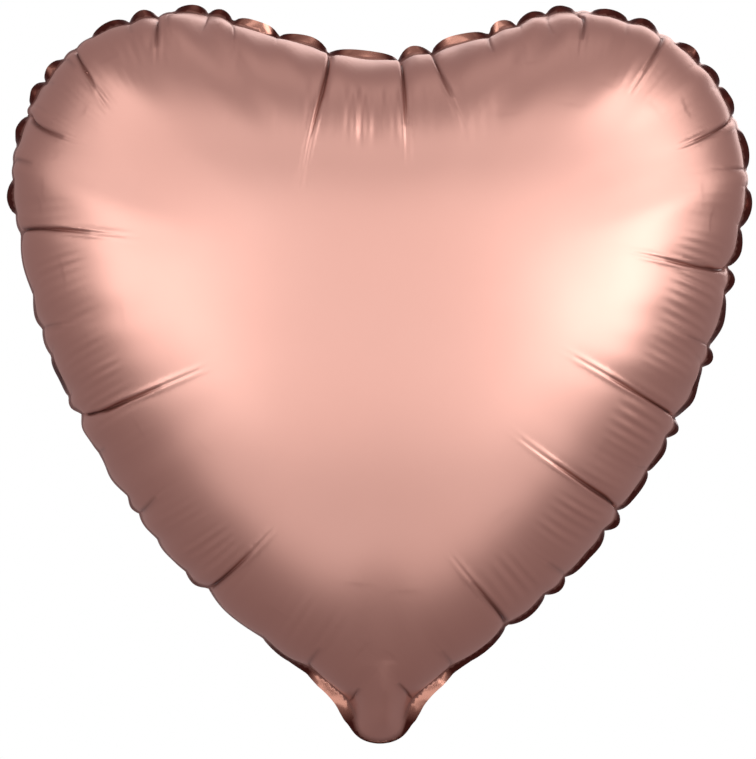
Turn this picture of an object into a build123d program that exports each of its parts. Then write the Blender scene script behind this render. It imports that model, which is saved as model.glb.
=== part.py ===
"""Heart-shaped foil balloon, blown up, with its tail and its self-sealing valve.

Millimetres. +Z is up, the front panel faces -Y, and the heart is symmetrical about X = 0.
The origin is on the neck, where the ribbon is tied: the gas space is above it and the tail below it.
Every foil panel is a thin wall. The panels meet, face to face, in the plane Y = 0, along the welded rim.
"""

from build123d import *
import math
import os

# ---- The blown-up heart
WIDTH = 373.0  # across the lobes, cut edge to cut edge
LOBE_TOP = 347.0  # height of the lobes above the tie
DEPTH = 186.0  # front of the front panel to back of the back panel
RIM = 5.5  # width of the welded rim
WALL = 0.6  # thickness of one foil wall

# Cut edge of the right half from the cleft down to the point, as shares of half the width and of the lobe height
HALF_EDGE = [
    (0.00, 0.934),  # bottom of the cleft
    (0.22, 0.960),
    (0.50, 1.000),  # top of the lobe
    (0.735, 0.975),
    (0.885, 0.915),
    (0.965, 0.840),
    (1.00, 0.735),  # widest point
    (0.965, 0.640),
    (0.905, 0.515),
    (0.785, 0.375),
    (0.56, 0.200),
    (0.33, 0.088),
    (0.20, 0.028),
    (0.00, -0.012),  # point of the heart, inside the tail
]
MIDDLE = (0.0, 0.56 * LOBE_TOP)  # the panels stand furthest out here
CROWN = 0.36 * WIDTH  # radius of the circle that the outlines turn into towards the crown of the bulge
PROFILE = 2.2  # exponent of the bulge's profile: 2 is an ellipse, and more is squarer
LAYERS = 10  # outlines that each bulging panel is lofted through
LAST_LAYER = 0.994  # the top outline, as a share of the panel's height
ROUNDING_AT_SIDES = 1.5  # how late the outlines turn into the circle over the sides and lobes
ROUNDING_AT_POINT = 0.6  # and over the point, where the bulge runs out like a cone

# ---- The tail
TAIL_EDGE = [(36.0, 14.0), (23.5, 0.0), (17.5, -10.5), (9.5, -19.0), (0.0, -21.5)]
SLEEVE_WIDTH = 26.0  # inside width of the filling sleeve, which runs from the mouth to the gas space
SLEEVE_GAP = 2.4  # inside height of the sleeve
SLEEVE_TOP = 16.0
NECK_GAP = 2.6  # the tail bends about the origin's X line, and the neck is clear of it by this radius

# ---- The valve: two limp films that the gas presses together
FILM_WIDTH = 20.0
FILM_LENGTH = 76.0
FILM_WALL = 0.2
FILM_FOOT = 3.4  # height of the films' lower end above the tie
FILM_SPACE = 0.3  # between the films


def heart_edge():
    """Closed list of the cut edge's points, clockwise from the cleft, seen from the front."""
    right = [(x * WIDTH / 2, z * LOBE_TOP) for x, z in HALF_EDGE]
    left = [(-x, z) for x, z in reversed(right[1:-1])]
    return right + left


def inset(points, distance):
    """The same points, each moved inwards square to the line between its neighbours."""
    moved = []
    for i, (x, z) in enumerate(points):
        before, after = points[i - 1], points[(i + 1) % len(points)]
        along_x, along_z = after[0] - before[0], after[1] - before[1]
        length = math.hypot(along_x, along_z)
        moved.append((x + distance * along_z / length, z - distance * along_x / length))
    return moved


def layer_point(x, z, share):
    """Where the outline's point lies in the layer at that share of the bulge's height."""
    across, up = x - MIDDLE[0], z - MIDDLE[1]
    radius = math.hypot(across, up)
    pointing_down = max(0.0, -up / radius) ** 3
    exponent = ROUNDING_AT_SIDES + (ROUNDING_AT_POINT - ROUNDING_AT_SIDES) * pointing_down
    rounded = radius + (CROWN - radius) * share**exponent
    keep = rounded / radius * (1 - share**PROFILE) ** (1 / PROFILE)
    return MIDDLE[0] + keep * across, MIDDLE[1] + keep * up


def outline(points, depth):
    """Closed smooth wire through the points, in the plane Y = depth."""
    return Wire([Spline([(x, depth, z) for x, z in points], periodic=True)])


def bulge(points, height):
    """Solid dome on the given outline, from Y = 0 forwards to Y = -height."""
    layers = []
    for i in range(LAYERS):
        share = LAST_LAYER * math.sin(math.pi / 2 * i / (LAYERS - 1))
        layer = [layer_point(x, z, share) for x, z in points]
        layers.append(outline(layer, -height * share))
    return Solid.make_loft(layers)


def tail_outline():
    """Face of the tail's tab in the plane Y = 0."""
    right = [(x, 0, z) for x, z in TAIL_EDGE]
    left = [(-x, y, z) for x, y, z in reversed(right[:-1])]
    return make_face([Spline(right + left), Line(left[-1], right[0])])


def sleeve(wall):
    """Elliptical tunnel from below the mouth to the gas space, grown by the wall's thickness."""
    bottom = TAIL_EDGE[-1][1] - WALL
    section = Plane.XY.offset(bottom) * Ellipse(SLEEVE_WIDTH / 2 + wall, SLEEVE_GAP / 2 + wall)
    return extrude(section, SLEEVE_TOP - bottom)


def front_foil():
    """The whole front sheet: its bulge, its half of the welded rim and its half of the tail."""
    welded = inset(heart_edge(), RIM)
    rim = extrude(make_face(outline(heart_edge(), 0)), WALL, dir=(0, -1, 0))
    tab = extrude(tail_outline(), WALL, dir=(0, -1, 0))
    tail_zone = extrude(tail_outline(), SLEEVE_GAP + WALL, dir=(0, -1, 0))
    front_half = Pos(0, -WIDTH / 2, 0) * Box(2 * WIDTH, WIDTH, 4 * WIDTH)
    outside = rim + tab + (sleeve(WALL) & tail_zone) + bulge(welded, DEPTH / 2)
    inside = sleeve(0) + bulge(inset(welded, WALL), DEPTH / 2 - WALL)
    return (outside - inside) & front_half


def split_at_neck(foil):
    """(part above the tie, part below it), with the bend's room taken from the upper part."""
    size = 4 * WIDTH
    below = Pos(0, 0, -size / 2) * Box(size, size, size)
    bend_room = Rot(0, 90, 0) * Cylinder(NECK_GAP, size)
    return foil - below - bend_room, foil & below


def valve_film(side):
    """One limp film of the valve, standing in the neck. side is -1 at the front and 1 at the back."""
    middle = side * (FILM_SPACE + FILM_WALL) / 2
    return Pos(0, middle, FILM_FOOT + FILM_LENGTH / 2) * Box(FILM_WIDTH, FILM_WALL, FILM_LENGTH)


def main():
    os.makedirs("parts", exist_ok=True)
    front_panel, front_tail = split_at_neck(front_foil())
    nodes = {
        "front_panel": front_panel,
        "back_panel": mirror(front_panel, about=Plane.XZ),
        "front_tail": front_tail,
        "back_tail": mirror(front_tail, about=Plane.XZ),
        "valve_front_film": valve_film(-1),
        "valve_back_film": valve_film(1),
    }
    for name, shape in nodes.items():
        export_step(shape, f"parts/{name}.step")


main()
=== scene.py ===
"""Looks of a heart-shaped foil balloon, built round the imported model.

Two flat foil sheets are welded together along their rim and blown up by a cloth simulation of the smooth
gas-filled shape. That shape is stretched to the frame and flattened by a chosen power.
The creases, scallops and fine wrinkles of the gathered rim are then laid over it in code.
Lengths in this script are millimetres until a mesh is made, and MM turns them into metres.
"""

import math

import bpy
import numpy as np
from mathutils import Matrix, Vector
from mathutils.geometry import delaunay_2d_cdt
from mathutils.kdtree import KDTree


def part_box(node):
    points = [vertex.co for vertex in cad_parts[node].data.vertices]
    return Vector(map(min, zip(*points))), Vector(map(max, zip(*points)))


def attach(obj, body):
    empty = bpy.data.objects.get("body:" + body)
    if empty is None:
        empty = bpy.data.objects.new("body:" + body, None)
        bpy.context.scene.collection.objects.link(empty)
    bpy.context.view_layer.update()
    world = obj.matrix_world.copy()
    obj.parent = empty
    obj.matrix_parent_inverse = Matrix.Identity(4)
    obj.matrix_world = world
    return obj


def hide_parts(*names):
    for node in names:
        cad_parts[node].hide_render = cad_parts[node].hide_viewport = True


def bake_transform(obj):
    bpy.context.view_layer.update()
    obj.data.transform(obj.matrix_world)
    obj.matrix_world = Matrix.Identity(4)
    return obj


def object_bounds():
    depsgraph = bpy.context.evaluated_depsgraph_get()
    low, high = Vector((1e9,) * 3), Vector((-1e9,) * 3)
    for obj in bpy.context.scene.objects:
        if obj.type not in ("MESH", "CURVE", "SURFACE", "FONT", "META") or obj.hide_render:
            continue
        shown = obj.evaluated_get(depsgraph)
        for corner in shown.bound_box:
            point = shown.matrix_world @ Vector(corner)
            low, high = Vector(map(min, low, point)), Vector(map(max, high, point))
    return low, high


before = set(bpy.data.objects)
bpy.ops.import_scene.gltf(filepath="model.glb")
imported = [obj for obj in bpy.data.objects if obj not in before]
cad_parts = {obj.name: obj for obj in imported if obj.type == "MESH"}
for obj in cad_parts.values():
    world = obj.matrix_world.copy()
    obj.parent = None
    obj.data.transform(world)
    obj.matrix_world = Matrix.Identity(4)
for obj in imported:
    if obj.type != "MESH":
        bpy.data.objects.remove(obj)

MM = 0.001
CAD_LOW, CAD_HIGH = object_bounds()
HALF_WIDTH = CAD_HIGH.x / MM
LOBE_TOP = CAD_HIGH.z / MM
HALF_DEPTH = CAD_HIGH.y / MM
RANDOM = np.random.default_rng(17)

# ---- The blown-up outline: cut edge of the right half, from the cleft to the end of the tail,
# as shares of half the width and of the lobes' height above the tie
BLOWN_EDGE = [
    (0.00, 0.934),
    (0.22, 0.960),
    (0.50, 1.000),
    (0.735, 0.975),
    (0.885, 0.915),
    (0.965, 0.840),
    (1.00, 0.735),
    (0.965, 0.640),
    (0.905, 0.515),
    (0.785, 0.375),
    (0.56, 0.200),
    (0.33, 0.088),
    (0.17, 0.020),
    (0.12, -0.008),
    (0.09, -0.034),
    (0.05, -0.056),
    (0.00, -0.062),
]
MIDDLE = np.array([0.0, 0.56 * LOBE_TOP])  # the outline is stretched to size about this point

# ---- The flat sheets: right half of the cut edge and of the inside of the weld, from the cleft down
CUT_EDGE = [
    (0, 379),
    (55, 380),
    (114, 381),
    (166, 359),
    (206, 318),
    (223, 267),
    (220, 201),
    (185, 111),
    (119, 26),
    (44, -23),
    (31, -34),
    (23, -44),
    (13, -52.5),
    (0, -55.5),
]
WELD_EDGE = [
    (0, 373.5),
    (55, 374.5),
    (113, 375.5),
    (162.5, 354.5),
    (201, 315),
    (217.5, 266.5),
    (214.5, 202),
    (180, 113.5),
    (116, 30),
    (41, -18.5),
    (24, -31),
    (18.5, -38),
    (16, -44),
    (10.5, -50.5),
    (0, -53.5),
]
RIM_STEP = 1.0  # spacing of the points that follow the weld and the cut edge

# ---- The creases that run in from the rim, clockwise from the cleft, as seen from the front: where each
# starts, as a direction from the middle, its length, its heading and its strength. Directions are degrees
# clockwise from up.
CREASES = [
    (4, 38, 175, 0.9),
    (11, 29, 160, 0.75),
    (21.6, 12, 176, 0.4),
    (33, 18, 177, 0.8),
    (45, 26, -156, 0.7),
    (61, 28, -124, 0.8),
    (69, 14, -95, 0.4),
    (83, 37, -86, 1.0),
    (96, 15, -73, 0.3),
    (110, 43, -60, 1.0),
    (130, 44, -54, 1.0),
    (145, 14, -50, 0.3),
    (158, 32, -37, 0.9),
    (169, 12, -25, 0.3),
    (175.2, 12, -38, 0.7),
    (-175.4, 9, 35, 0.6),
    (-169, 14, 25, 0.35),
    (-148, 33, 49, 1.0),
    (-130, 15, 49, 0.4),
    (-109, 47, 72, 1.0),
    (-93, 13, 82, 0.3),
    (-78, 40, 91, 0.9),
    (-68, 13, 99, 0.4),
    (-61, 26, 122, 0.85),
    (-49, 28, 151, 0.85),
    (-37, 20, 175, 0.9),
    (-27, 12, 172, 0.4),
    (-11, 48, -170, 1.0),
]
# Spacing of the small puckers between the creases: round the lobes, in the cleft and down the sides
PUCKER_EVERY = {"lobe": (14.0, 23.0), "cleft": (40.0, 60.0), "side": (22.0, 40.0)}
CLEFT_END, LOBE_END = 25.0, 80.0  # how far from straight up each of these reaches, in degrees
PUCKER_LENGTH = (16.0, 34.0)
PUCKER_STRENGTH = (0.08, 0.28)
FOLD_DEPTH = 4.8  # of the sharp fold along a crease
FOLD_SIDES = (0.6, 1.6)  # the fold's steep side and its gentle side, as how far each reaches
SEAM_SHADE = 0.5  # painted shade on the foil right beside the weld: how dark it is, and how far that reaches
SEAM_REACH = 1.8
FOLD_ROWS = (0.0, 0.4, 0.9, 1.6, 2.6)  # the mesh follows a fold at these distances from it
LIP_HEIGHT = 0.35  # of the foil that is pushed up beside a fold
STREAK_HEIGHT = 0.6  # of the ridge that a crease ends in
DENT_DEPTH = 2.6  # of the wide dent round a crease, and how far it reaches sideways and inwards
DENT_REACH = (7.0, 26.0)
NOTCH = 3.0  # how far a crease pulls the rim in
NOTCH_REACH = 13.0

# ---- Where the foil ripples finely beside the creases: direction from the middle, half width, strength
RIPPLED = [
    (-2, 12, 1.3),
    (63, 7, 0.4),
    (90, 9, 0.9),
    (112, 9, 1.0),
    (134, 9, 1.0),
    (152, 8, 0.7),
    (-167, 8, 0.6),
    (-142, 9, 1.0),
    (-108, 8, 0.9),
    (-88, 12, 0.5),
    (-52, 10, 0.7),
]
RIPPLE_BAND = (0.0, 14.0, 30.0, 48.0)  # distances from their start at which they rise, are full, and fade
RIPPLE_START = {"cleft": 57.0, "elsewhere": 27.0}  # from the weld
RIPPLE_LEFT = 0.12  # share of the ripples elsewhere along the rim
RIPPLE_SPACING = 6.4
RIPPLE_HEIGHT = 0.5

# ---- The weld's flange: how far each scallop's flange leans back, in degrees
FLANGE_LEAN = {"lobe": (32.0, 50.0), "cleft": (8.0, 24.0), "left": (62.0, 80.0), "right": (42.0, 58.0)}
NOTCH_LEAN = 76.0
TAIL_LEAN = (52.0, 12.0)  # at these heights on the flat sheet
TAIL_LEAN_HEIGHTS = (-50.0, -24.0)
SHORT_SCALLOP = 12.0  # the flange of a shorter scallop than this stays folded back
# Painted shade on the flange, by how far it leans back: none below the first of these leans, full between the
# middle two, partial past the last
PAINTED_SHADE_LEANS = (22.0, 40.0, 64.0, 78.0)
FLANGE_PAINTED_SHADE = (0.0, 1.0, 1.0, 0.3)
UV_SHIFT, UV_SPAN = [250, 100], 500  # of the flat sheet on its UV map
FLANGE_HALF = 0.12  # each sheet's share of the flange's thickness

# ---- Mesh spacings
SIMULATED = 5.0
RIM_SPACING = 1.9
BAND_SPACING = 1.35
MIDDLE_SPACING = 3.4
BAND = (24.0, 114.0)

# ---- Blowing up
SIMULATION_SCALE = 10.0  # the cloth solver is steady at this size
STEPS = 60
FLATTENED = 1.5  # power that flattens the middle and steepens the rim after the simulation, chosen for looks
RIDGE_HEIGHT = 4.0  # of the soft ridge down the middle of the tail
RIDGE_AT, RIDGE_HALF = 3.0, 4.8
RIDGE_ENDS = (-19.0, -10.0, 6.0, 22.0)
TAIL_TOP = -30.0  # below this height on the flat sheet, the tail is past the valve
TAIL_PRESSURE = 0.5  # and holds the gas less tightly


def closed_half(points):
    """Both halves of an outline that is given by its right half, as one closed array of points."""
    right = np.array(points, float)
    return np.vstack([right, (right[1:-1] * [-1, 1])[::-1]])


def smooth_line(points, spacing):
    """Even points along a closed smooth curve (centripetal Catmull-Rom) through the given ones."""
    steps = 60
    spans = []
    for i in range(len(points)):
        p = [points[(i + k - 1) % len(points)] for k in range(4)]
        t = np.concatenate([[0.0], np.cumsum([math.sqrt(np.linalg.norm(p[k + 1] - p[k])) for k in range(3)])])
        u = np.linspace(t[1], t[2], steps, endpoint=False)[:, None]
        a = [
            (t[k + 1] - u) / (t[k + 1] - t[k]) * p[k] + (u - t[k]) / (t[k + 1] - t[k]) * p[k + 1]
            for k in range(3)
        ]
        b = [
            (t[k + 2] - u) / (t[k + 2] - t[k]) * a[k] + (u - t[k]) / (t[k + 2] - t[k]) * a[k + 1]
            for k in range(2)
        ]
        spans.append((t[2] - u) / (t[2] - t[1]) * b[0] + (u - t[1]) / (t[2] - t[1]) * b[1])
    line = np.concatenate(spans + [spans[0][:1]])
    travel = np.concatenate([[0.0], np.cumsum(np.linalg.norm(np.diff(line, axis=0), axis=1))])
    at = np.linspace(0, travel[-1], int(round(travel[-1] / spacing)), endpoint=False)
    return np.stack([np.interp(at, travel, line[:, k]) for k in range(2)], axis=1)


def is_inside(points, outline):
    """Which points lie inside the closed outline."""
    x, y = points.T
    inside = np.zeros(len(points), bool)
    for a, b in zip(outline, np.roll(outline, -1, 0)):
        if a[1] != b[1]:
            crosses = (a[1] > y) != (b[1] > y)
            inside ^= crosses & (x < a[0] + (b[0] - a[0]) * (y - a[1]) / (b[1] - a[1]))
    return inside


def search_tree(points):
    """Search tree over flat points."""
    tree = KDTree(len(points))
    for i, (x, z) in enumerate(points):
        tree.insert((x, z, 0), i)
    tree.balance()
    return tree


def nearest(points, line):
    """(distance to the nearest point of the line, that point's index) for each point."""
    tree = search_tree(line)
    found = [tree.find((x, z, 0)) for x, z in points]
    return np.array([f[2] for f in found]), np.array([f[1] for f in found])


def direction(degrees):
    """Unit vector at that many degrees clockwise from straight up."""
    return np.array([math.sin(math.radians(degrees)), math.cos(math.radians(degrees))])


def bearing(points):
    """Directions of the points from the middle, in degrees clockwise from straight up."""
    return np.degrees(np.arctan2(points[:, 0] - MIDDLE[0], points[:, 1] - MIDDLE[1]))


def region(angle):
    """Which stretch of the rim lies in that direction."""
    if abs(angle) < CLEFT_END:
        return "cleft"
    return "lobe" if abs(angle) < LOBE_END else "side"


def turned_from(angles, place):
    """How many degrees the angles are from the place, -180 to 180."""
    return (angles - place + 180) % 360 - 180


weld_line = smooth_line(closed_half(WELD_EDGE), RIM_STEP)
cut_line = smooth_line(closed_half(CUT_EDGE), RIM_STEP)


def inwards(line):
    """Unit vectors at the points of a closed clockwise line, square to it and pointing inwards."""
    side = np.roll(line, -4, 0) - np.roll(line, 4, 0)
    side /= np.linalg.norm(side, axis=1, keepdims=True)
    return np.stack([side[:, 1], -side[:, 0]], 1)


class Crease:
    """One crease or pucker, from the weld in along a slightly bowed line of the flat sheet."""

    def __init__(self, at, strength):
        self.at = at
        self.start = weld_line[at]
        self.strength = strength
        self.steep_side = RANDOM.choice([-1.0, 1.0])

    def run_to(self, end):
        """Lays the crease from its start to that flat point."""
        self.length = float(np.linalg.norm(end - self.start))
        self.heading = (end - self.start) / self.length
        self.aside = np.array([-self.heading[1], self.heading[0]])
        self.bow = RANDOM.uniform(-0.04, 0.04) * self.length

    def bowed(self, along):
        return self.bow * np.sin(math.pi * np.clip(along / self.length, 0, 1.3))

    def measure(self, flat):
        """(share of the crease's length, distance to its line) for each flat point."""
        along = (flat - self.start) @ self.heading
        return along / self.length, (flat - self.start) @ self.aside - self.bowed(along)

    def row(self, offset, spacing):
        """Points along the crease at that distance from its line."""
        along = np.arange(1.6, 1.25 * self.length, spacing)[:, None]
        return self.start + along * self.heading + (self.bowed(along) + offset) * self.aside


def crease_starts(rim):
    """(creases, puckers), with their starts only. rim is the weld's line as seen from the front."""
    around = bearing(rim)
    large = []
    for place, _, _, strength in CREASES:
        large.append(Crease(int(np.abs(turned_from(around, place)).argmin()), strength))
    small = []
    at = 0
    while at < len(weld_line):
        every = PUCKER_EVERY[region(around[at])]
        starts = np.array([crease.start for crease in large + small])
        if np.linalg.norm(starts - weld_line[at], axis=1).min() > 0.62 * every[0] and weld_line[at][1] > 0:
            small.append(Crease(at, RANDOM.uniform(*PUCKER_STRENGTH)))
            at += int(RANDOM.uniform(*every) / RIM_STEP)
        at += 2
    return large, small


def lay_creases(large, small, rim, seen, flat):
    """Lays the creases to where they end as seen from the front, and the puckers straight inwards."""
    for crease, (_, length, heading, _) in zip(large, CREASES):
        end = rim[crease.at] + length * direction(heading)
        crease.run_to(spread_over(end[None], seen, flat)[0])
    inward = inwards(weld_line)
    for pucker in small:
        pucker.run_to(pucker.start + RANDOM.uniform(*PUCKER_LENGTH) * inward[pucker.at])


def lattice(spacing):
    """Triangular lattice of points over the whole sheet."""
    across = np.arange(-240, 240, spacing)
    rows = np.arange(-75, 400, spacing * math.sqrt(3) / 2)
    return np.concatenate(
        [np.stack([across + spacing / 2 * (j % 2), np.full_like(across, z)], 1) for j, z in enumerate(rows)]
    )


def loop_edges(first, count):
    """Edges of a closed loop of points that are numbered from first."""
    return [(first + i, first + (i + 1) % count) for i in range(count)]


def triangulated(points, edges):
    """(points, faces) of the triangle mesh inside the edges' outer loop, all faces turned the same way."""
    made = delaunay_2d_cdt([Vector(p) for p in points], edges, [], 1, 1e-6)
    flat = np.array([(p.x, p.y) for p in made[0]])
    faces = np.array(made[2])
    turn = np.cross(flat[faces[:, 1]] - flat[faces[:, 0]], flat[faces[:, 2]] - flat[faces[:, 0]])
    faces[turn < 0] = faces[turn < 0][:, ::-1]
    return flat, faces


def gas_sheet():
    """(points, faces, number of points on the weld) of the mesh to blow up, the weld's points first."""
    weld = smooth_line(closed_half(WELD_EDGE), 0.8 * SIMULATED)
    inner = lattice(SIMULATED)
    inner = inner[is_inside(inner, weld_line)]
    inner = inner[nearest(inner, weld_line)[0] > 0.6 * SIMULATED]
    flat, faces = triangulated(np.vstack([weld, inner]), loop_edges(0, len(weld)))
    return flat, faces, len(weld)


def blow_up(flat, faces, on_weld):
    """Front positions of the sheet's points once filled, by cloth simulation of both sheets."""
    count = len(flat)
    gap = nearest(flat, weld_line)[0]
    bulge = np.minimum(0.9 * np.sqrt(23 * gap), 60.0)
    bulge[:on_weld] = 0
    front = np.stack([flat[:, 0], -bulge, flat[:, 1]], 1)
    copied = np.arange(on_weld, count)
    back = np.concatenate([np.arange(on_weld), count + np.arange(len(copied))])
    points = np.vstack([front, front[copied] * [1, -1, 1]])
    scale = SIMULATION_SCALE * MM
    mesh = bpy.data.meshes.new("gas_bag")
    mesh.from_pydata((points * scale).tolist(), [], np.vstack([faces, back[faces][:, ::-1]]).tolist())
    bag = bpy.data.objects.new("gas_bag", mesh)
    bpy.context.scene.collection.objects.link(bag)
    pressed = bag.vertex_groups.new(name="pressed")
    in_tail = np.clip((TAIL_TOP - flat[copied, 1]) / 6, 0, 1)
    for i, share in zip(copied, 1 - (1 - TAIL_PRESSURE) * in_tail):
        pressed.add([int(i), int(back[i])], float(share), "REPLACE")
    cloth = bag.modifiers.new("foil", "CLOTH")
    foil = cloth.settings
    foil.quality = 6
    foil.mass = 0.2
    foil.air_damping = 1.5
    foil.tension_stiffness = 40
    foil.compression_stiffness = 0.05
    foil.shear_stiffness = 0.1
    foil.bending_stiffness = 1.0
    foil.tension_damping = foil.compression_damping = foil.shear_damping = 5
    foil.bending_damping = 0.5
    foil.use_pressure = True
    foil.uniform_pressure_force = 4
    foil.vertex_group_pressure = "pressed"
    foil.effector_weights.gravity = 0
    cloth.collision_settings.use_collision = False
    cloth.point_cache.frame_end = STEPS
    for step in range(1, STEPS + 1):
        bpy.context.scene.frame_set(step)
    blown = bag.evaluated_get(bpy.context.evaluated_depsgraph_get()).data
    found = np.zeros(3 * len(points))
    blown.vertices.foreach_get("co", found)
    bpy.data.objects.remove(bag)
    bpy.data.meshes.remove(mesh)
    bpy.context.scene.frame_set(1)
    return relaxed(found.reshape(-1, 3)[:count] / scale, faces, on_weld)


def relaxed(points, faces, on_weld, rounds=6):
    """Evens out the mesh's own unevenness. The points on the weld stay."""
    pairs = np.vstack([faces[:, [0, 1]], faces[:, [1, 2]], faces[:, [2, 0]]])
    links = np.bincount(pairs[:, 0], minlength=len(points))[:, None]
    for _ in range(rounds):
        mean = np.zeros_like(points)
        np.add.at(mean, pairs[:, 0], points[pairs[:, 1]])
        points[on_weld:] += 0.5 * (mean / links - points)[on_weld:]
    return points


def place_on_rim(flat):
    """(distance from the weld, distance along it) of each flat point."""
    gap, at = nearest(flat, weld_line)
    before, here, after = (((flat - weld_line[(at + k) % len(weld_line)]) ** 2).sum(1) for k in (-1, 0, 1))
    between = 0.5 * (before - after) / (before - 2 * here + after)
    return gap, (at + np.clip(between, -0.5, 0.5)) * RIM_STEP % (len(weld_line) * RIM_STEP)


def at_travel(values, travel):
    """Values that are known at the weld's points, between those points."""
    step = travel / RIM_STEP
    first = np.floor(step).astype(int) % len(values)
    share = (step - np.floor(step)).reshape([-1] + [1] * (values.ndim - 1))
    return values[first] * (1 - share) + values[(first + 1) % len(values)] * share


def rim_profile(creases, around):
    """(pull, lean) along the weld: how far the notches pull the rim in, and how far back the flange leans."""
    creases = sorted((crease for crease in creases if crease.start[1] > -24), key=lambda crease: crease.at)
    count = len(weld_line)
    pull = np.zeros(count)
    lean = np.zeros(count)
    for crease, following in zip(creases, creases[1:] + creases[:1]):
        span = (following.at - crease.at) % count
        share = np.arange(span) / span
        places = (crease.at + np.arange(span)) % count
        arch = np.sin(math.pi * share)
        strength = (0.35 + 0.65 * crease.strength) * (1 - share) + (0.35 + 0.65 * following.strength) * share
        pull[places] = NOTCH * strength * (1 - arch)
        middle = around[places[span // 2]]
        stretch = region(middle)
        if stretch == "side":
            stretch = "left" if middle < 0 else "right"
        scallop_lean = RANDOM.uniform(*FLANGE_LEAN[stretch])
        if span * RIM_STEP < SHORT_SCALLOP:
            scallop_lean = NOTCH_LEAN
            pull[places] = NOTCH * strength * (1 - 0.3 * arch)
        lean[places] = NOTCH_LEAN - (NOTCH_LEAN - scallop_lean) * arch**0.6
    in_tail = np.clip((-8 - weld_line[:, 1]) / 10, 0, 1)
    tail_lean = np.interp(weld_line[:, 1], TAIL_LEAN_HEIGHTS, TAIL_LEAN)
    return pull * (1 - in_tail), lean * (1 - in_tail) + tail_lean * in_tail


def evened(values, reach):
    """Values round a closed line, each replaced by a smooth average of those round it."""
    steps = np.arange(-3 * reach, 3 * reach + 1)
    weights = np.exp(-((steps / reach) ** 2))
    return sum(w * np.roll(values, k, 0) for k, w in zip(steps, weights)) / weights.sum()


def fit_to_frame(points, rim, flange):
    """Stretches the blown-up shape, so that its outline with the flange, and its depth, are the frame's."""
    target = smooth_line(closed_half(BLOWN_EDGE) * [HALF_WIDTH, LOBE_TOP], RIM_STEP)
    around = bearing(target)
    order = around.argsort()
    target_radius = np.linalg.norm(target - MIDDLE, axis=1)[order]
    inner = rim[:, [0, 2]]
    edge = inner - inwards(inner) * flange[:, None]
    edge_around = bearing(edge)
    wanted = np.interp(edge_around, around[order], target_radius, period=360)
    ratio = evened(wanted / np.linalg.norm(edge - MIDDLE, axis=1), 6)
    radius = evened(np.linalg.norm(inner - MIDDLE, axis=1), 3)
    inner_around = bearing(inner)
    order = inner_around.argsort()
    fitted = []
    for batch in (points, rim):
        flat = batch[:, [0, 2]]
        share = np.linalg.norm(flat - MIDDLE, axis=1)
        rim_radius = np.interp(bearing(flat), inner_around[order], radius[order], period=360)
        share = np.clip(share / rim_radius, 0, 1.1)
        stretch = 1 + (np.interp(bearing(flat), inner_around[order], ratio[order], period=360) - 1) * share**2
        flat = MIDDLE + (flat - MIDDLE) * stretch[:, None]
        rise = np.clip(-batch[:, 1] / np.abs(points[:, 1]).max(), 0, 1)
        depth = -(HALF_DEPTH - 0.5) * (1 - (1 - rise) ** FLATTENED)
        fitted.append(np.stack([flat[:, 0], depth, flat[:, 1]], 1))
    return fitted


def spread_over(flat, from_flat, from_points, neighbours=34):
    """Positions of other points of the sheet, by a smooth local fit through the blown-up points."""
    tree = search_tree(from_flat)
    index = np.array([[f[1] for f in tree.find_n((x, z, 0), neighbours)] for x, z in flat])
    x, z = ((from_flat[index] - flat[:, None]) / SIMULATED).transpose(2, 0, 1)
    weight = np.exp(-(x**2 + z**2) / 4.0)[..., None]
    terms = np.stack([np.ones_like(x), x, z, x * x, x * z, z * z], 2)
    left = terms.transpose(0, 2, 1) @ (terms * weight) + 1e-9 * np.eye(6)
    right = terms.transpose(0, 2, 1) @ (from_points[index] * weight)
    return np.linalg.solve(left, right)[:, 0]


def display_sheet(creases):
    """Fine triangle mesh of the flat sheet. The weld's points are first, and then the cut edge's."""
    weld = smooth_line(closed_half(WELD_EDGE), 1.6)
    cut = smooth_line(closed_half(CUT_EDGE), 1.6)
    rows = []
    for crease in creases:
        for offset in FOLD_ROWS:
            for side in {offset, -offset}:
                rows.append(crease.row(side, 1.1 if offset < 1 else 1.5))
    rows = np.vstack(rows)
    rows = rows[is_inside(rows, weld_line)]
    rows = rows[nearest(rows, weld_line)[0] > 1.0]
    layers = []
    zones = ((RIM_SPACING, 1.1, BAND[0]), (BAND_SPACING, *BAND), (MIDDLE_SPACING, BAND[1], 1e9))
    for spacing, low, high in zones:
        layer = lattice(spacing)
        layer = layer[is_inside(layer, weld_line)]
        gap = nearest(layer, weld_line)[0]
        layer = layer[(gap >= max(low, 0.6 * spacing)) & (gap < high)]
        layers.append(layer[nearest(layer, rows)[0] > 0.6 * min(spacing, 2.0)])
    outer = lattice(RIM_SPACING)
    outer = outer[is_inside(outer, cut_line) & ~is_inside(outer, weld_line)]
    outer = outer[np.minimum(nearest(outer, weld_line)[0], nearest(outer, cut_line)[0]) > 0.9]
    edges = loop_edges(0, len(weld)) + [(a + len(weld), b + len(weld)) for a, b in loop_edges(0, len(cut))]
    flat, faces = triangulated(np.vstack([weld, cut, outer, rows, *layers]), edges)
    outside = ~is_inside(flat[faces].mean(1), weld)
    return flat, np.vstack([faces[~outside], faces[outside]]), (~outside).sum(), len(weld), len(cut)


def surface_normals(points, faces):
    """Unit normal at each point, from the faces round it."""
    corners = points[faces]
    face_normals = np.cross(corners[:, 1] - corners[:, 0], corners[:, 2] - corners[:, 0])
    normals = np.zeros_like(points)
    for k in range(3):
        np.add.at(normals, faces[:, k], face_normals)
    length = np.linalg.norm(normals, axis=1, keepdims=True)
    return np.divide(normals, length, out=np.zeros_like(normals), where=length > 0)


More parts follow.
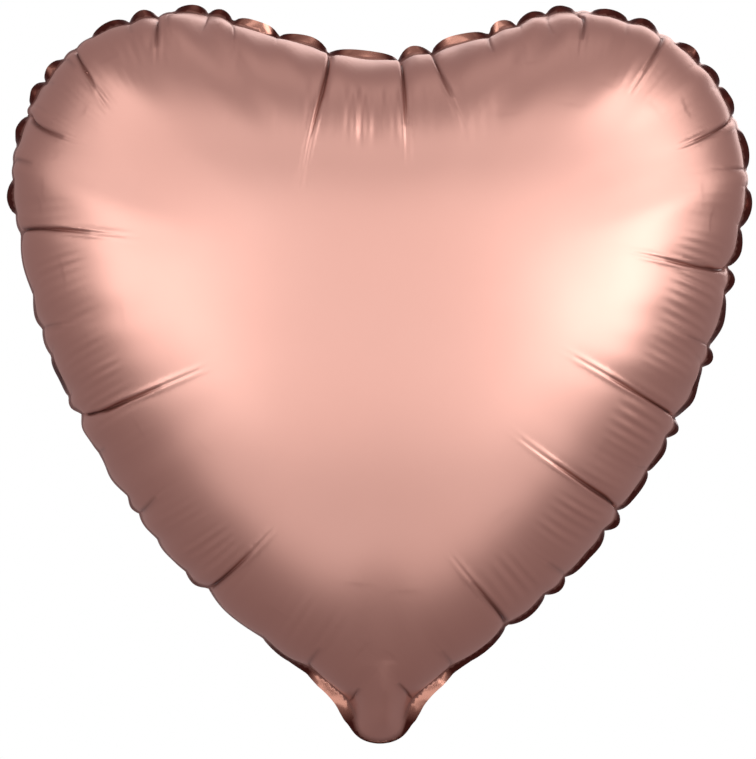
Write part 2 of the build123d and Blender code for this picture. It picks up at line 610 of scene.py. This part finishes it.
def folded(points, normals, flat, gap, creases, strengths):
    """(points with the creases folded into them, how much painted shade each point gets, 0 to 1: painted
    shade along each crease's line and right beside the weld).
    """
    depth = np.zeros(len(points))
    dent = np.zeros(len(points))
    raised = np.zeros(len(points))
    painted_shade = np.zeros(len(points))
    steep, gentle = FOLD_SIDES
    for crease, share in zip(creases, strengths):
        near = np.linalg.norm(flat - crease.start, axis=1) < 1.5 * crease.length + 20
        along, aside = crease.measure(flat[near])
        aside = aside * crease.steep_side
        strength = share * crease.strength
        reach = np.clip(1 - along, 0, 1) ** 0.75 * (0.45 + 0.55 * np.clip(along / 0.25, 0, 1))
        size = strength * min(1.0, crease.length / 60)
        valley = np.exp(-np.abs(aside) / np.where(aside < 0, steep, gentle))
        depth[near] = np.maximum(depth[near], FOLD_DEPTH * size * reach * valley)
        # Painted shade along the crease's line, strongest near the weld
        line = np.exp(-((aside / (0.7 + 1.0 * np.clip(along, 0, 1))) ** 2))
        painted_shade[near] = np.maximum(painted_shade[near], min(1.0, 1.3 * strength) * reach**0.6 * line)
        lip = LIP_HEIGHT * size * reach * np.exp(-(((aside + 1.7) / 1.0) ** 2))
        beside = np.exp(-(((np.abs(aside) - 1.5) / 0.8) ** 2))
        streak = STREAK_HEIGHT * size * np.exp(-(((along - 0.92) / 0.24) ** 2)) * beside
        raised[near] += lip + streak
        wide, far = DENT_REACH
        inward = np.clip(along * crease.length, 0, None)
        hollow = (0.4 + 0.6 * strength) * np.exp(-((aside / wide) ** 2)) * np.exp(-inward / far)
        dent[near] = np.maximum(dent[near], DENT_DEPTH * hollow)
    held = np.clip(gap / 6, 0, 1)
    # Painted shade on the foil right beside the weld
    painted_seam_shade = SEAM_SHADE * np.exp(-((gap / SEAM_REACH) ** 2))
    painted_shade = np.maximum(painted_shade * np.clip(gap / 2, 0, 1), painted_seam_shade)
    return points + normals * ((raised - depth - dent) * held)[:, None], painted_shade


def rippled(flat, around, gap):
    """How strongly the foil ripples at each point."""
    share = np.full(len(gap), RIPPLE_LEFT)
    for place, width, strength in RIPPLED:
        share = np.maximum(share, strength * np.exp(-((turned_from(around, place) / width) ** 2)))
    share *= np.where(np.abs(around) > 120, np.clip(np.abs(flat[:, 0]) / 30 - 0.4, 0, 1), 1)
    near, full, fading, far = RIPPLE_BAND
    into = gap - np.where(np.abs(around) < CLEFT_END, RIPPLE_START["cleft"], RIPPLE_START["elsewhere"])
    rise = np.clip((into - near) / (full - near), 0, 1)
    fall = np.clip((far - into) / (far - fading), 0, 1)
    return share * rise**2 * (3 - 2 * rise) * fall**2 * (3 - 2 * fall)


def fine_ripples():
    """Node tree that raises fine ripples, square to the rim, where the "ripple" attribute asks for them."""
    tree = bpy.data.node_groups.new("fine_ripples", "GeometryNodeTree")
    inputs = [
        ("Geometry", "NodeSocketGeometry", None),
        ("Spacing", "NodeSocketFloat", RIPPLE_SPACING * MM),
        ("Height", "NodeSocketFloat", RIPPLE_HEIGHT * MM),
        ("Seed", "NodeSocketFloat", 0.0),
        ("Material", "NodeSocketMaterial", None),
    ]
    for name, kind, value in inputs:
        socket = tree.interface.new_socket(name=name, in_out="INPUT", socket_type=kind)
        if value is not None:
            socket.default_value = value
    tree.interface.new_socket(name="Geometry", in_out="OUTPUT", socket_type="NodeSocketGeometry")

    def add(kind, **values):
        node = tree.nodes.new(kind)
        for name, value in values.items():
            setattr(node, name, value)
        return node

    def sums(operation, *values):
        node = add("ShaderNodeMath", operation=operation)
        for socket, value in zip(node.inputs, values):
            if isinstance(value, (int, float)):
                socket.default_value = value
            else:
                tree.links.new(value, socket)
        return node.outputs[0]

    def attribute(name):
        node = add("GeometryNodeInputNamedAttribute", data_type="FLOAT")
        node.inputs["Name"].default_value = name
        return node.outputs["Attribute"]

    def uneven(across, along):
        """Noise that changes over these lengths along the rim and away from it."""
        place = add("ShaderNodeCombineXYZ")
        tree.links.new(sums("DIVIDE", travel, across), place.inputs["X"])
        tree.links.new(sums("DIVIDE", gap, along), place.inputs["Y"])
        tree.links.new(given["Seed"], place.inputs["Z"])
        node = add("ShaderNodeTexNoise", noise_dimensions="3D")
        node.inputs["Scale"].default_value = 1.0
        node.inputs["Detail"].default_value = 0.0
        tree.links.new(place.outputs[0], node.inputs["Vector"])
        return node.outputs[0]

    given = add("NodeGroupInput").outputs
    gap, travel, share = attribute("rim_gap"), attribute("rim_travel"), attribute("ripple")
    turns = sums("ADD", sums("DIVIDE", travel, given["Spacing"]), sums("MULTIPLY", uneven(0.06, 0.4), 1.6))
    wave = sums("SINE", sums("MULTIPLY", turns, 2 * math.pi))
    each = sums("MULTIPLY", sums("SUBTRACT", uneven(0.012, 0.08), 0.25), 2.0)
    height = sums("MULTIPLY", sums("MULTIPLY", share, given["Height"]), sums("MAXIMUM", each, 0.05))
    offset = add("ShaderNodeVectorMath", operation="SCALE")
    tree.links.new(add("GeometryNodeInputNormal").outputs[0], offset.inputs[0])
    tree.links.new(sums("MULTIPLY", height, wave), offset.inputs["Scale"])
    moved = add("GeometryNodeSetPosition")
    tree.links.new(given["Geometry"], moved.inputs["Geometry"])
    tree.links.new(offset.outputs[0], moved.inputs["Offset"])
    real = add("GeometryNodeRealizeInstances")
    tree.links.new(moved.outputs[0], real.inputs[0])
    painted = add("GeometryNodeSetMaterial")
    tree.links.new(real.outputs[0], painted.inputs["Geometry"])
    tree.links.new(given["Material"], painted.inputs["Material"])
    tree.links.new(painted.outputs[0], add("NodeGroupOutput").inputs[0])
    return tree


def set_input(modifier, name, value):
    """Sets a modifier's input by its socket's identifier."""
    for item in modifier.node_group.interface.items_tree:
        if item.name == name and item.in_out == "INPUT":
            modifier[item.identifier] = value


def foil_mesh(name, placed, faces, values, flat):
    """Mesh of one foil, with its values as attributes and its flat cut as the UV map."""
    mesh = bpy.data.meshes.new(name)
    mesh.from_pydata((placed * MM).tolist(), [], faces.tolist())
    mesh.shade_smooth()
    for attribute, value in values.items():
        layer = mesh.attributes.new(attribute, "FLOAT", "POINT")
        layer.data.foreach_set("value", value.astype(np.float32))
    corner = np.zeros(len(mesh.loops), int)
    mesh.loops.foreach_get("vertex_index", corner)
    cut_uv = (flat[corner] + UV_SHIFT) / UV_SPAN
    mesh.uv_layers.new(name="flat_cut").data.foreach_set("uv", cut_uv.astype(np.float32).ravel())
    return mesh


def make_foils(materials):
    """The front and the back foil, each one sheet out to the cut edge and down to the end of the tail."""
    coarse_flat, coarse_faces, on_weld = gas_sheet()
    blown = blow_up(coarse_flat, coarse_faces, on_weld)
    rim = spread_over(weld_line, coarse_flat, blown)
    rim[:, 1] = 0
    around = bearing(rim[:, [0, 2]])
    large, small = crease_starts(rim[:, [0, 2]])
    creases = large + small
    pull, lean = rim_profile(creases, around)
    lean = np.radians(lean)
    flange_width = nearest(weld_line, cut_line)[0]
    blown, rim = fit_to_frame(blown, rim, flange_width * np.cos(lean))
    lay_creases(large, small, rim[:, [0, 2]], blown[:, [0, 2]], coarse_flat)
    flat, faces, gas_count, welds, cuts = display_sheet(creases)
    gas_faces = faces[:gas_count]
    on_rim = np.ones(len(flat), bool)
    on_rim[gas_faces.ravel()] = False
    gap, travel = place_on_rim(flat)
    points = spread_over(flat, coarse_flat, blown)
    ridge = np.exp(-(((points[:, 0] - RIDGE_AT) / RIDGE_HALF) ** 2))
    ridge *= np.interp(points[:, 2], RIDGE_ENDS, (0, 1, 1, 0))
    points[:, 1] -= RIDGE_HEIGHT * ridge
    rim = spread_over(weld_line, coarse_flat, blown)
    rim[:, 1] = 0
    inward = evened(inwards(rim[:, [0, 2]]), 2)
    inward = np.insert(inward, 1, 0, axis=1)
    ring = at_travel(rim + inward * pull[:, None], travel)
    pulled = at_travel(inward * pull[:, None], travel) * np.exp(-gap / NOTCH_REACH)[:, None]
    outward = -at_travel(inward, travel[on_rim])
    leaning = at_travel(lean, travel[on_rim])[:, None]
    backward = np.array([[0.0, 1.0, 0.0]])
    facing = at_travel(around, travel)
    wrinkles = fine_ripples()
    foils = []
    for name, side in (("front_foil", 1), ("back_foil", -1)):
        placed = points * [1, side, 1]
        turned = faces if side > 0 else faces[:, ::-1]
        strengths = np.ones(len(creases)) if side > 0 else RANDOM.uniform(0.3, 1.0, len(creases))
        normals = surface_normals(placed, turned[:gas_count])
        placed, painted_shade = folded(placed, normals, flat, np.where(on_rim, 0, gap), creases, strengths)
        # Painted shade on the flange, by how far it leans back
        painted_shade[on_rim] = np.interp(np.degrees(leaning[:, 0]), PAINTED_SHADE_LEANS, FLANGE_PAINTED_SHADE)
        placed += pulled
        placed[:welds] = ring[:welds]
        reach = gap[on_rim, None]
        thick = side * FLANGE_HALF * np.clip(reach / 1.5, 0, 1)
        thick[:cuts] = 0
        placed[on_rim] = ring[on_rim] + reach * (np.cos(leaning) * outward + np.sin(leaning) * backward)
        placed[on_rim] += thick * (np.sin(leaning) * outward - np.cos(leaning) * backward)
        values = {
            "rim_gap": np.where(on_rim, 0, gap) * MM,
            "rim_travel": travel * MM,
            "ripple": np.where(on_rim, 0, rippled(flat, facing, gap)),
            "weld": on_rim * 1.0,
            # share of painted shade, from the creases, the seam beside the weld and the flange's lean
            "painted_shade_share": painted_shade,
        }
        mesh = foil_mesh(name, placed, turned, values, flat)
        piece = bpy.data.objects.new(name, mesh)
        bpy.context.scene.collection.objects.link(piece)
        ripples = piece.modifiers.new("ripples", "NODES")
        ripples.node_group = wrinkles
        set_input(ripples, "Spacing", RIPPLE_SPACING * MM)
        set_input(ripples, "Height", RIPPLE_HEIGHT * MM)
        set_input(ripples, "Seed", 3.0 + side)
        set_input(ripples, "Material", materials[name])
        final = bpy.data.meshes.new_from_object(piece.evaluated_get(bpy.context.evaluated_depsgraph_get()))
        piece.modifiers.clear()
        piece.data = final
        final.name = name
        bpy.data.meshes.remove(mesh)
        foils.append(piece)
    return foils


# ---- Materials


def mixed(tree, first, second, share):
    """Colour between two, by a share from another node."""
    node = tree.nodes.new("ShaderNodeMix")
    node.data_type = "RGBA"
    tree.links.new(share, node.inputs["Factor"])
    for socket, value in (("A", first), ("B", second)):
        target = [s for s in node.inputs if s.name == socket and s.type == "RGBA"][0]
        if isinstance(value, tuple):
            target.default_value = (*value, 1)
        else:
            tree.links.new(value, target)
    return [s for s in node.outputs if s.type == "RGBA"][0]


def ranged(tree, value, low, high, from_low=0.0, from_high=1.0):
    """A value rescaled from one range to another."""
    node = tree.nodes.new("ShaderNodeMapRange")
    tree.links.new(value, node.inputs["Value"])
    for name, number in (("From Min", from_low), ("From Max", from_high), ("To Min", low), ("To Max", high)):
        node.inputs[name].default_value = number
    return node.outputs[0]


def noise(tree, place, scale, detail=2.0, stretch=(1, 1, 1)):
    """Noise on Object coordinates or a UV map, stretched as asked."""
    mapping = tree.nodes.new("ShaderNodeMapping")
    mapping.inputs["Scale"].default_value = stretch
    tree.links.new(place, mapping.inputs["Vector"])
    node = tree.nodes.new("ShaderNodeTexNoise")
    node.inputs["Scale"].default_value = scale
    node.inputs["Detail"].default_value = detail
    tree.links.new(mapping.outputs[0], node.inputs["Vector"])
    return node.outputs[0]


WELD_TINT = (0.72, 0.36, 0.27)
# colour of the painted shade in the creases, beside the weld and on the leaning flange
PAINTED_SHADE_TINT = (0.13, 0.032, 0.024)
SATIN = (0.36, 0.44)  # roughness of the face, and below it that of the weld
WELD_GLOSS = (0.14, 0.30)


def satin_foil(name, tint, deep_tint):
    """Metallised film with a satin face, and a smoother, crinkled weld along its rim, darkened by painted
    shade in its creases, beside the weld and on the leaning flange.
    """
    material = bpy.data.materials.new(name)
    material.use_nodes = True
    tree = material.node_tree
    shader = tree.nodes["Principled BSDF"]
    place = tree.nodes.new("ShaderNodeTexCoord").outputs["Object"]
    weld = tree.nodes.new("ShaderNodeAttribute")
    weld.attribute_name = "weld"
    weld = weld.outputs["Fac"]
    cloudy = noise(tree, place, 14, 3)
    grain = noise(tree, place, 900, 2, (1, 1, 0.12))
    crinkle = noise(tree, place, 50, 1.2)
    face = mixed(tree, tint, deep_tint, ranged(tree, cloudy, 0.0, 0.35, 0.3, 0.7))
    # Painted shade: the colour is darkened towards the painted shade tint by the painted_shade_share
    # attribute
    painted_shade_share = tree.nodes.new("ShaderNodeAttribute")
    painted_shade_share.attribute_name = "painted_shade_share"
    metal = mixed(tree, face, WELD_TINT, weld)
    tree.links.new(mixed(tree, metal, PAINTED_SHADE_TINT, painted_shade_share.outputs["Fac"]), shader.inputs["Base Color"])
    shader.inputs["Metallic"].default_value = 1.0
    rough = tree.nodes.new("ShaderNodeMix")
    tree.links.new(weld, rough.inputs["Factor"])
    tree.links.new(ranged(tree, cloudy, *SATIN), rough.inputs[2])
    tree.links.new(ranged(tree, crinkle, *WELD_GLOSS), rough.inputs[3])
    tree.links.new(rough.outputs[0], shader.inputs["Roughness"])
    satin = tree.nodes.new("ShaderNodeBump")
    satin.inputs["Strength"].default_value = 0.25
    satin.inputs["Distance"].default_value = 0.02 * MM
    tree.links.new(grain, satin.inputs["Height"])
    sealed = tree.nodes.new("ShaderNodeBump")
    sealed.inputs["Distance"].default_value = 3.0 * MM
    tree.links.new(ranged(tree, weld, 0.0, 0.8), sealed.inputs["Strength"])
    tree.links.new(crinkle, sealed.inputs["Height"])
    tree.links.new(satin.outputs[0], sealed.inputs["Normal"])
    tree.links.new(sealed.outputs[0], shader.inputs["Normal"])
    return material


def valve_polythene():
    """Limp, cloudy polythene of the valve's two films."""
    material = bpy.data.materials.new("valve_polythene")
    material.use_nodes = True
    tree = material.node_tree
    shader = tree.nodes["Principled BSDF"]
    place = tree.nodes.new("ShaderNodeTexCoord").outputs["Object"]
    cloudy = noise(tree, place, 60, 3)
    tree.links.new(mixed(tree, (0.86, 0.88, 0.88), (0.76, 0.79, 0.80), cloudy), shader.inputs["Base Color"])
    tree.links.new(ranged(tree, cloudy, 0.3, 0.5), shader.inputs["Roughness"])
    shader.inputs["Transmission Weight"].default_value = 0.55
    shader.inputs["IOR"].default_value = 1.5
    bump = tree.nodes.new("ShaderNodeBump")
    bump.inputs["Strength"].default_value = 0.3
    bump.inputs["Distance"].default_value = 0.1 * MM
    tree.links.new(noise(tree, place, 300, 2), bump.inputs["Height"])
    tree.links.new(bump.outputs[0], shader.inputs["Normal"])
    return material


FILM_ROWS, FILM_COLUMNS = 48, 14
FILM_SWAY = 0.8


def valve_film(name, node, material):
    """One limp film of the valve: a soft strip that sways a little above the neck, as thick as its film."""
    low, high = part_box(node)
    middle = (low.y + high.y) / 2
    rows = []
    for j in range(FILM_ROWS + 1):
        up = j / FILM_ROWS
        sway = FILM_SWAY * MM * math.sin(2.2 * math.pi * up) * up
        for i in range(FILM_COLUMNS + 1):
            across = i / FILM_COLUMNS
            curl = 0.25 * MM * math.sin(5 * math.pi * up) * math.sin(math.pi * across) * up
            x, z = low.x + across * (high.x - low.x), low.z + up * (high.z - low.z)
            rows.append((x, middle + sway + curl, z))
    wide = FILM_COLUMNS + 1
    faces = [
        (j * wide + i, j * wide + i + 1, (j + 1) * wide + i + 1, (j + 1) * wide + i)
        for j in range(FILM_ROWS)
        for i in range(FILM_COLUMNS)
    ]
    mesh = bpy.data.meshes.new(name)
    mesh.from_pydata(rows, [], faces)
    mesh.shade_smooth()
    mesh.materials.append(material)
    piece = bpy.data.objects.new(name, mesh)
    bpy.context.scene.collection.objects.link(piece)
    thick = piece.modifiers.new("film", "SOLIDIFY")
    thick.thickness = 0.06 * MM
    thick.offset = 0
    return piece


# ---- The studio

STUDIO_MIDDLE = Vector((0, 0, 0.19))
LIGHTS_AWAY = 1.8


def softbox(name, azimuth, elevation, width, height, power):
    """Soft rectangular light that faces the balloon. Azimuth 0 is in front of it and 90 to its right."""
    turn, rise = math.radians(azimuth), math.radians(elevation)
    out = Vector((math.sin(turn) * math.cos(rise), -math.cos(turn) * math.cos(rise), math.sin(rise)))
    light = bpy.data.lights.new(name, "AREA")
    light.shape = "RECTANGLE"
    light.size, light.size_y = width, height
    light.energy = power
    lamp = bpy.data.objects.new(name, light)
    bpy.context.scene.collection.objects.link(lamp)
    lamp.location = STUDIO_MIDDLE + LIGHTS_AWAY * out
    lamp.rotation_euler = (-out).to_track_quat("-Z", "Y").to_euler()


def surroundings():
    """White to the eye, and a darker room in the foil's reflections."""
    world = bpy.data.worlds.new("studio")
    bpy.context.scene.world = world
    world.use_nodes = True
    tree = world.node_tree
    white = tree.nodes["Background"]
    white.inputs["Color"].default_value = (1, 1, 1, 1)
    white.inputs["Strength"].default_value = 1.0
    room = tree.nodes.new("ShaderNodeBackground")
    heading = tree.nodes.new("ShaderNodeSeparateXYZ")
    tree.links.new(tree.nodes.new("ShaderNodeTexCoord").outputs["Generated"], heading.inputs[0])
    height = ranged(tree, heading.outputs["Z"], 0.0, 1.0, -1.0, 1.0)
    ramp = tree.nodes.new("ShaderNodeValToRGB")
    tree.links.new(height, ramp.inputs[0])
    ramp.color_ramp.elements[0].position = 0.0
    ramp.color_ramp.elements[0].color = (0.25, 0.195, 0.20, 1)
    ramp.color_ramp.elements[1].position = 1.0
    ramp.color_ramp.elements[1].color = (0.29, 0.23, 0.24, 1)
    waist = ramp.color_ramp.elements.new(0.5)
    waist.color = (0.27, 0.215, 0.225, 1)
    tree.links.new(ramp.outputs[0], room.inputs["Color"])
    path = tree.nodes.new("ShaderNodeLightPath")
    either = tree.nodes.new("ShaderNodeMixShader")
    tree.links.new(path.outputs["Is Glossy Ray"], either.inputs[0])
    tree.links.new(white.outputs[0], either.inputs[1])
    tree.links.new(room.outputs[0], either.inputs[2])
    tree.links.new(either.outputs[0], tree.nodes["World Output"].inputs["Surface"])


def floor():
    """Wide pale floor, far below the floating balloon."""
    sides, radius, depth = 96, 8.0, -1.4
    turns = [2 * math.pi * i / sides for i in range(sides)]
    ring = [(radius * math.cos(turn), radius * math.sin(turn), depth) for turn in turns]
    mesh = bpy.data.meshes.new("floor")
    mesh.from_pydata(ring, [], [tuple(range(sides))])
    material = bpy.data.materials.new("pale_floor")
    material.use_nodes = True
    shader = material.node_tree.nodes["Principled BSDF"]
    shader.inputs["Base Color"].default_value = (0.93, 0.93, 0.93, 1)
    shader.inputs["Roughness"].default_value = 0.9
    mesh.materials.append(material)
    ground = bpy.data.objects.new("floor", mesh)
    bpy.context.scene.collection.objects.link(ground)
    ground.visible_glossy = False


def camera():
    """Straight in front of the balloon, through a long lens."""
    distance, seen_height = 3.0, 0.3795
    lens = bpy.data.cameras.new("camera")
    lens.lens = lens.sensor_width * distance / seen_height
    eye = bpy.data.objects.new("camera", lens)
    bpy.context.scene.collection.objects.link(eye)
    eye.location = (-0.001, -distance, 0.1602)
    eye.rotation_euler = (math.pi / 2, 0, 0)
    bpy.context.scene.camera = eye


camera()
surroundings()
floor()
softbox("right_softbox", 45, 0, 0.75, 0.75, 6.1)
softbox("right_high_softbox", 45, 35, 0.75, 0.75, 4.3)
softbox("far_right_softbox", 70, 16, 0.75, 1.4, 4.1)
softbox("right_of_camera", 20, 0, 0.75, 0.75, 4.7)
softbox("left_softbox", -45, 0, 0.75, 0.75, 3.9)
softbox("left_high_softbox", -45, 35, 0.75, 0.75, 2.5)
softbox("far_left_softbox", -70, 16, 0.75, 1.4, 1.9)
softbox("left_of_camera", -20, 0, 0.75, 0.75, 4.3)
softbox("high_softbox", 0, 36, 1.5, 0.6, 2.1)
softbox("low_panel", 0, -36, 2.6, 0.7, 4.0)
softbox("top_softbox", 0, 88, 0.9, 0.9, 0.7)
softbox("back_softbox", 165, 20, 1.2, 1.2, 6)
bpy.context.scene.view_settings.view_transform = "Standard"

foil_materials = {
    "front_foil": satin_foil("front_satin_foil", (0.80, 0.46, 0.385), (0.77, 0.425, 0.35)),
    "back_foil": satin_foil("back_satin_foil", (0.78, 0.45, 0.37), (0.73, 0.41, 0.33)),
}
front, back_sheet = make_foils(foil_materials)
for piece, nodes in ((front, ("front_panel", "front_tail")), (back_sheet, ("back_panel", "back_tail"))):
    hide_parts(*nodes)
    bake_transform(piece)

polythene = valve_polythene()
for side in ("front", "back"):
    film = valve_film(f"valve_{side}_strip", f"valve_{side}_film", polythene)
    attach(film, f"{side}_valve")
    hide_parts(f"valve_{side}_film")
